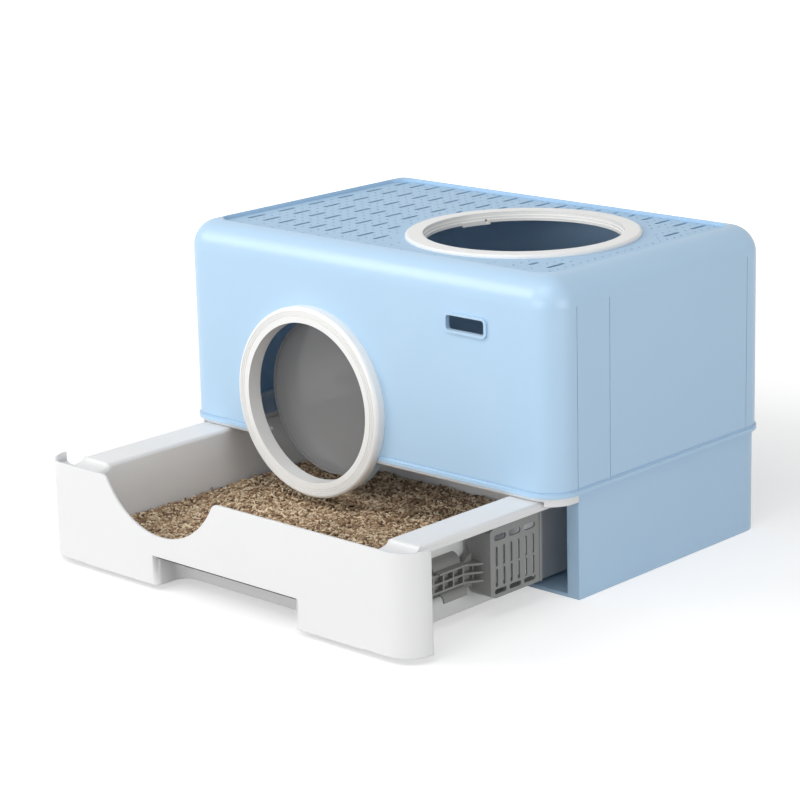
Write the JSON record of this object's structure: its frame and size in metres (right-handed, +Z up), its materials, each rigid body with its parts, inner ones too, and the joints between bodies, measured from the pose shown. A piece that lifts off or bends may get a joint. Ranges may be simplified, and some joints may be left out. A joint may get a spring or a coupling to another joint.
{
  "type": "drawer litter box",
  "caption": "Covered litter box with a pull-out litter drawer, round front doorway with a flap, round top opening, air slots and a clipped-on slotted scoop.",
  "frame": {"origin": "on the floor, under the middle of the hood", "axes": "X runs left to right seen from the front, Y from front to back, Z up; the drawer is drawn pulled out, to its stop"},
  "size_m": [0.564, 0.602, 0.354],
  "materials": {
    "blue_plastic": "satin moulded polypropylene, pale blue",
    "white_plastic": "satin moulded polypropylene, white",
    "grey_plastic": "fine-grained moulded polypropylene, mid grey",
    "smoke_clear": "see-through smoke-grey polycarbonate",
    "litter": "pressed plant-fibre pellets",
    "steel": "bright zinc-plated steel",
    "rubber": "soft matt rubber"
  },
  "bodies": {
    "housing": {"base_housing": "blue_plastic", "foot_pads": "rubber", "left_runner": "white_plastic", "right_runner": "white_plastic", "middle_frame": "white_plastic"},
    "hood": {"hood_shell": "blue_plastic", "vent_panel": "blue_plastic", "top_ring": "white_plastic", "top_ring_clamp": "white_plastic", "top_ring_screws": "steel", "front_ring": "white_plastic", "front_ring_clamp": "white_plastic", "front_ring_screws": "steel", "flap_hinge_pin": "steel", "grip_frame": "blue_plastic"},
    "flap": {"flap_panel": "smoke_clear"},
    "drawer": {"drawer_tray": "white_plastic", "litter_bed": "litter", "scoop_clip": "grey_plastic"},
    "scoop": {"scoop": "grey_plastic"}
  },
  "joints": [
    {"name": "drawer_slide", "type": "slide", "parent": "housing", "child": "drawer", "axis": [0, 1, 0], "range_m": [0, 0.208]},
    {"name": "hood_lift", "type": "slide", "parent": "housing", "child": "hood", "axis": [0, 0, 1], "range_m": [0, 0.15]},
    {"name": "flap_swing", "type": "hinge", "parent": "hood", "child": "flap", "pos_m": [-0.0714, -0.16, 0.2697], "axis": [1, 0, 0], "range_deg": [0, 80]},
    {"name": "scoop_release", "type": "slide", "parent": "drawer", "child": "scoop", "axis": [1, 0, 0], "range_m": [0, 0.02]}
  ]
}
